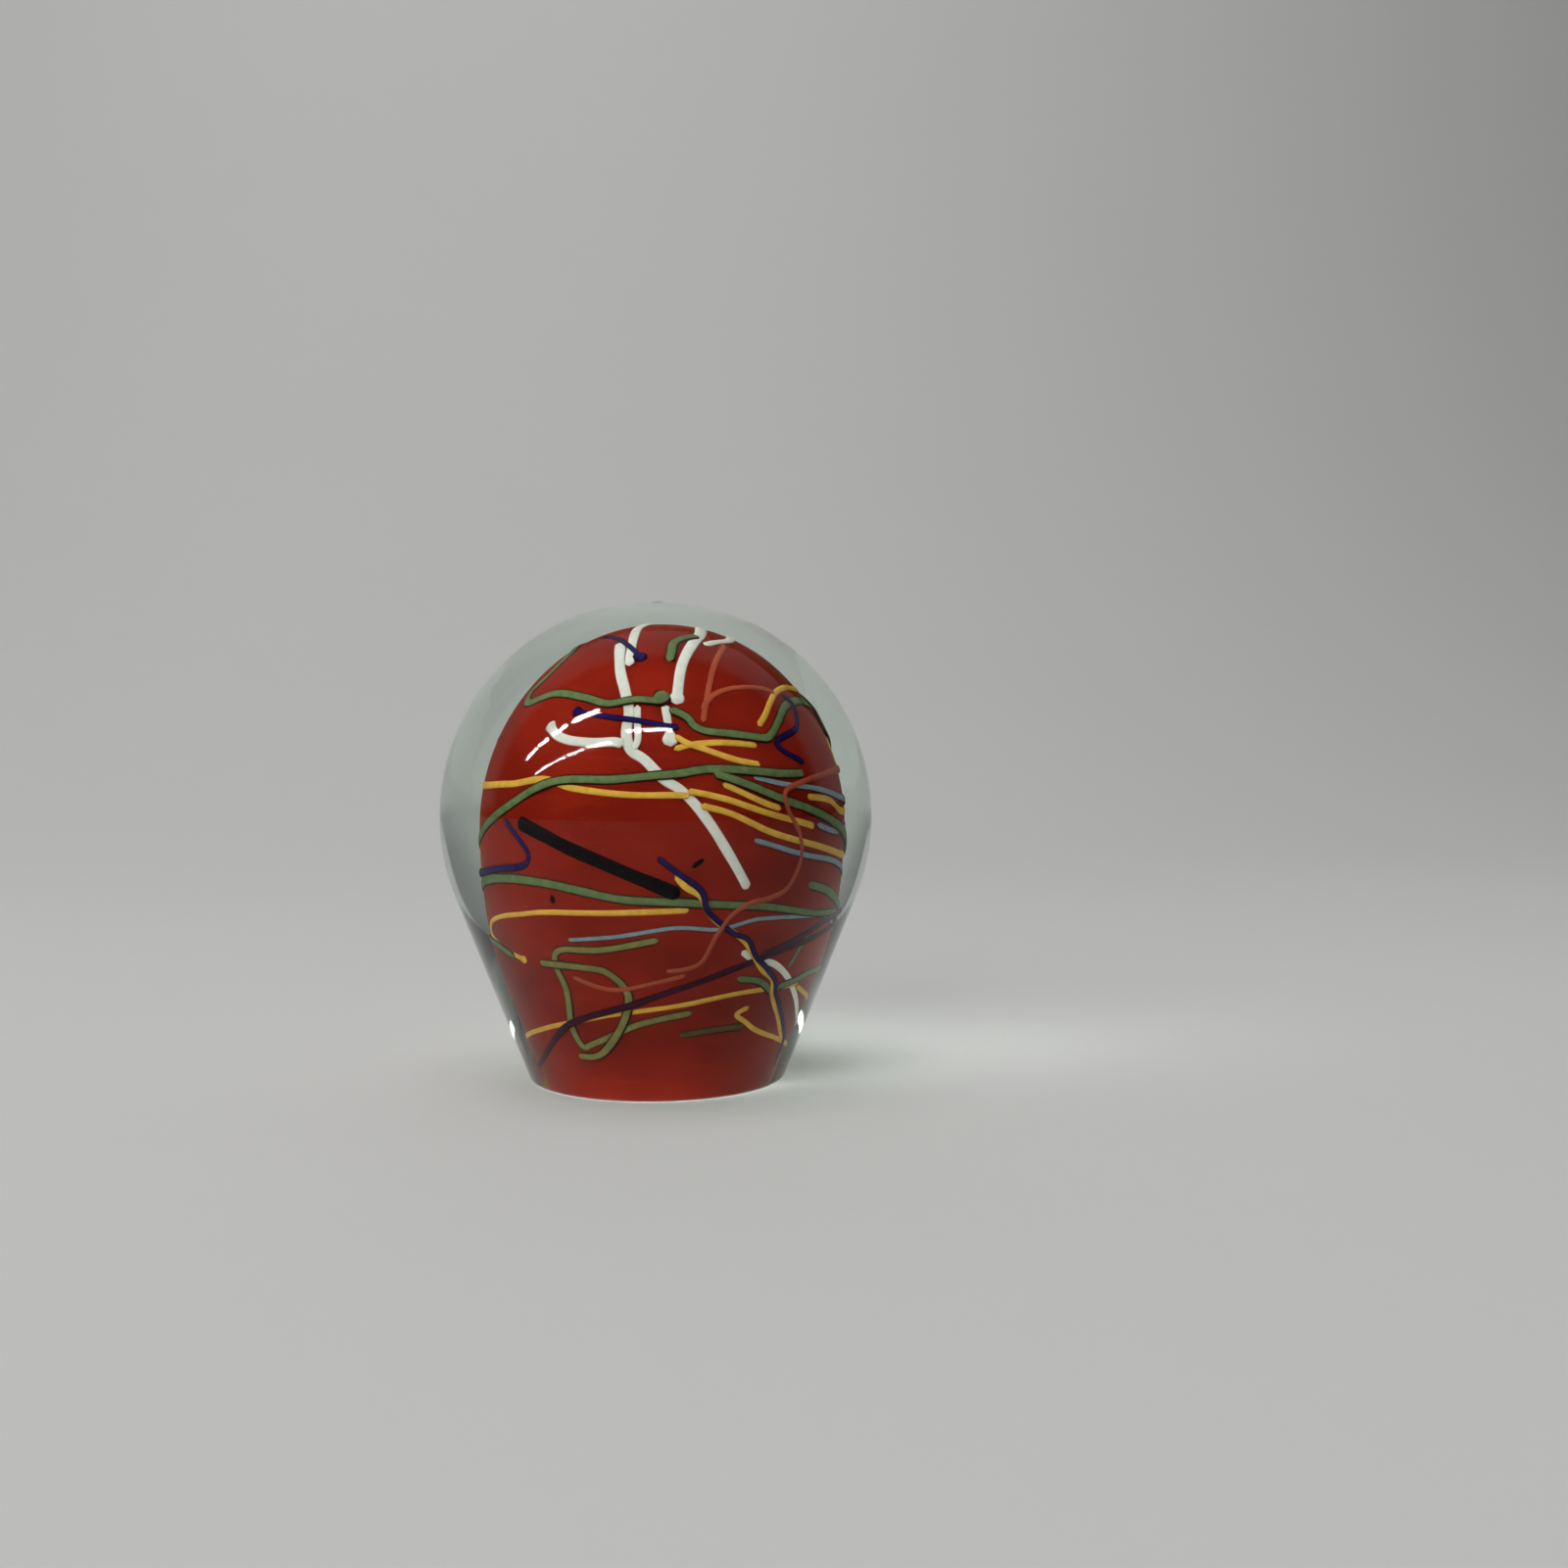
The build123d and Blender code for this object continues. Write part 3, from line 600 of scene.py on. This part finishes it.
def thread_glass(name, crown_colour, deep_colour, edge_colour, edge=(0.60, 0.82), mottle=0.6):
    """Opaque coloured glass: streaked along its length, and darker on its flanks, where it meets the red."""
    finish = Finish(name + "_thread_glass")
    crown = finish.signal("ShaderNodeAttribute", {"attribute_name": "crown"}, output="Fac")
    streaks = finish.between(finish.cloud(1.1 * MM, 3.0), 0.35, 0.7)
    colour = finish.mixed(streaks * mottle, (*crown_colour, 1), (*deep_colour, 1))
    ragged = (finish.cloud(0.6 * MM, 2.0) - 0.5) * 0.12
    # the flanks, where the thread meets the red, turn towards the edge colour
    darker_flanks = 1 - finish.between(crown + ragged, *edge)
    colour = finish.mixed(darker_flanks, colour, (*edge_colour, 1))
    glass = finish.signal("ShaderNodeBsdfPrincipled", sockets={
        "Base Color": colour, "Roughness": 0.4, "Specular IOR Level": 0.0})
    return finish.surface(glass)


def salmon_glass():
    """Thin translucent threads that only warm the red under them."""
    finish = Finish("salmon_thread_glass")
    crown = finish.signal("ShaderNodeAttribute", {"attribute_name": "crown"}, output="Fac")
    body = finish.between(crown, 0.1, 0.8)
    colour = finish.mixed(finish.cloud(1.5 * MM), (0.44, 0.09, 0.045, 1), (0.37, 0.06, 0.028, 1))
    glass = finish.signal("ShaderNodeBsdfPrincipled", sockets={
        "Base Color": colour, "Roughness": 0.4, "Specular IOR Level": 0.0, "Alpha": body * 0.8})
    return finish.surface(glass)


def thread_glasses():
    """One finish for each colour of thread."""
    dark_edge = (0.030, 0.010, 0.005)
    return {
        "white": thread_glass("white", (0.76, 0.74, 0.67), (0.66, 0.63, 0.56), (0.50, 0.40, 0.34), (0.3, 0.5)),
        "yellow": thread_glass("yellow", (0.68, 0.38, 0.055), (0.55, 0.27, 0.038), (0.40, 0.12, 0.02), (0.3, 0.5)),
        "green": thread_glass("green", (0.120, 0.165, 0.065), (0.080, 0.105, 0.042), dark_edge),
        "pale_green": thread_glass("pale_green", (0.200, 0.185, 0.060), (0.135, 0.115, 0.038), dark_edge),
        "dark_green": thread_glass("dark_green", (0.095, 0.060, 0.020), (0.060, 0.035, 0.012), dark_edge),
        "blue": thread_glass("blue", (0.015, 0.008, 0.075), (0.010, 0.004, 0.040), (0.020, 0.003, 0.008)),
        "purple": thread_glass("purple", (0.036, 0.006, 0.020), (0.026, 0.004, 0.012), (0.040, 0.003, 0.004)),
        "grey": thread_glass("grey", (0.225, 0.265, 0.315), (0.165, 0.180, 0.200), (0.045, 0.015, 0.010)),
        "black": thread_glass("black", (0.002, 0.001, 0.002), (0.004, 0.002, 0.003), (0.008, 0.002, 0.002)),
        "salmon": salmon_glass(),
    }


def paper_white(name, colour):
    """Matt seamless paper with a faint tooth."""
    finish = Finish(name)
    tooth = finish.cloud(1.2 * MM, 3.0)
    cloud = finish.mixed(finish.cloud(0.3, 1.0) * 0.25, (*colour, 1), tuple(0.93 * part for part in colour) + (1,))
    bump = finish.signal("ShaderNodeBump", sockets={"Strength": 0.03, "Distance": 0.1 * MM, "Height": tooth})
    paper = finish.signal("ShaderNodeBsdfPrincipled", sockets={
        "Base Color": cloud, "Roughness": 0.85, "Specular IOR Level": 0.2, "Normal": bump})
    return finish.surface(paper)


# ---- The paperweight ----

def finished(piece, glass, slot, *nodes):
    """Gives a piece its glass, and stands it in for its CAD nodes; the slot argument is not used."""
    piece.data.materials.clear()
    piece.data.materials.append(glass)
    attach(piece, "root")
    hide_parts(*nodes)


finished(turned("clear_casing_gather", casing_outline()), casing_glass(), "casing_glass", "clear_casing")
finished(red_overlay_shell(), red_glass(), "red_glass", "red_overlay")
finished(heart(), heart_glass(), "heart_glass", "heart_gather")

glasses = thread_glasses()
other_glasses = {
    "green_thread_lower_turn": "pale_green",
    "green_thread_lower_loop": "pale_green",
    "green_thread_foot_short": "dark_green",
}
laid = []
for name, thickness, start_blob, end_blob, route in threads:
    colour = name.split("_")[0]
    piece = thread("melted_" + name, thickness, start_blob, end_blob, route, laid)
    finished(piece, glasses[other_glasses.get(name, colour)], colour + "_glass", name)
finished(black_chips(laid), glasses["black"], "black_glass", "black_chips")


# ---- Floor, light and camera ----

def paper_sweep(name, near, far, paper):
    """A width of pale paper from a near edge to a far one, measured along the floor and up the back."""
    bpy.ops.object.select_all(action="DESELECT")
    bpy.ops.mesh.primitive_grid_add(x_subdivisions=8, y_subdivisions=160, size=1)
    sheet = bpy.context.object
    sheet.name = name
    for vertex in sheet.data.vertices:
        along = near + (far - near) * (vertex.co.y + 0.5)
        turn = min(max(0, (along - sweep_start) / sweep_radius), pi / 2)
        risen = max(0, along - sweep_start - sweep_radius * pi / 2)
        floor_part = min(along, sweep_start)
        vertex.co = (vertex.co.x * sheet_width, floor_part + sweep_radius * sin(turn),
                     sweep_radius * (1 - cos(turn)) + risen - 0.08 * MM)
    bpy.ops.object.shade_smooth()
    sheet.data.materials.append(paper)
    return sheet


def panel(name, place, size, power, colour=(1, 1, 1), aim=(0, 0, 0.045), unseen=True):
    """A rectangular lamp aimed at the paperweight."""
    lamp = bpy.data.lights.new(name, "AREA")
    lamp.shape = "RECTANGLE"
    lamp.size, lamp.size_y = size
    lamp.energy = power
    lamp.color = colour
    stand = bpy.data.objects.new(name, lamp)
    bpy.context.scene.collection.objects.link(stand)
    stand.location = place
    stand.rotation_euler = (Vector(aim) - Vector(place)).to_track_quat("-Z", "Y").to_euler()
    if unseen:
        stand.visible_glossy = False
        stand.visible_transmission = False
    else:
        stand.visible_diffuse = False
    return stand


def ceiling_tube(number, start, end, depth, width=0.085):
    """One run of a ceiling fitting along X, seen as a bright dash in the casing."""
    middle = ((start + end) / 2, depth, ceiling)
    power = 330 * (end - start) * width
    lamp = panel("ceiling_tube_%d" % number, middle, (end - start, width), power, unseen=False)
    lamp.rotation_euler = (0, 0, 0)


sheet_width = 7
sweep_start = 0.5
sweep_radius = 1.2
paper = paper_white("floor_paper", (0.62, 0.62, 0.61))
paper_sweep("paper_backdrop", 0.3, 5.0, paper)
paper_sweep("paper_floor", -2.5, 0.3, paper)

ceiling = 1.2
rows = [(-0.62, (-0.58, -1.08, -1.54, -1.98, -2.75)), (-1.30, (-0.66, -1.2, -1.7, -2.2, -3.3)),
        (-1.12, (0.22, -0.45))]
tube_number = 0
for depth, ends in rows:
    for near, far in zip(ends, ends[1:]):
        ceiling_tube(tube_number, far + 0.04, near - 0.04, depth)
        tube_number += 1
panel("soft_overhead", (-0.2, -0.5, 1.7), (1.6, 1.6), 6.0)
panel("soft_front", (-0.9, -1.5, 0.9), (1.2, 1.0), 11.5)
panel("backdrop_wash", (-0.4, -0.2, 2.2), (1.4, 1.0), 28, aim=(0, 1.7, 0.7))

world = bpy.data.worlds.new("room")
bpy.context.scene.world = world
world.use_nodes = True
room = world.node_tree
direction = room.nodes.new("ShaderNodeTexCoord").outputs["Generated"]
parts = room.nodes.new("ShaderNodeSeparateXYZ")
room.links.new(direction, parts.inputs[0])
# the room is bright behind and overhead, and dark on the side that the front of the glass reflects
behind = room.nodes.new("ShaderNodeMapRange")
above = room.nodes.new("ShaderNodeMapRange")
for brightness, axis, start, end in ((behind, "Y", -0.02, 0.12), (above, "Z", 0.0, 0.1)):
    brightness.interpolation_type = "SMOOTHSTEP"
    brightness.inputs["From Min"].default_value = start
    brightness.inputs["From Max"].default_value = end
    room.links.new(parts.outputs[axis], brightness.inputs["Value"])
behind.inputs["To Max"].default_value = 0.40
both = room.nodes.new("ShaderNodeMath")
both.operation = "MULTIPLY"
room.links.new(behind.outputs["Result"], both.inputs[0])
room.links.new(above.outputs["Result"], both.inputs[1])
room.links.new(both.outputs[0], room.nodes["Background"].inputs["Strength"])
room.nodes["Background"].inputs["Color"].default_value = (1, 1, 0.98, 1)

camera_data = bpy.data.cameras.new("camera")
camera_data.sensor_width = 36
camera_data.lens = 36.1
camera_data.clip_start = 0.01
camera = bpy.data.objects.new("camera", camera_data)
bpy.context.scene.collection.objects.link(camera)
camera.location = (0, -0.2806, 0.0573)
camera.rotation_euler = (radians(90 - 1.09), 0, radians(-4.587))
bpy.context.scene.camera = camera
bpy.context.scene.view_settings.view_transform = "Standard"
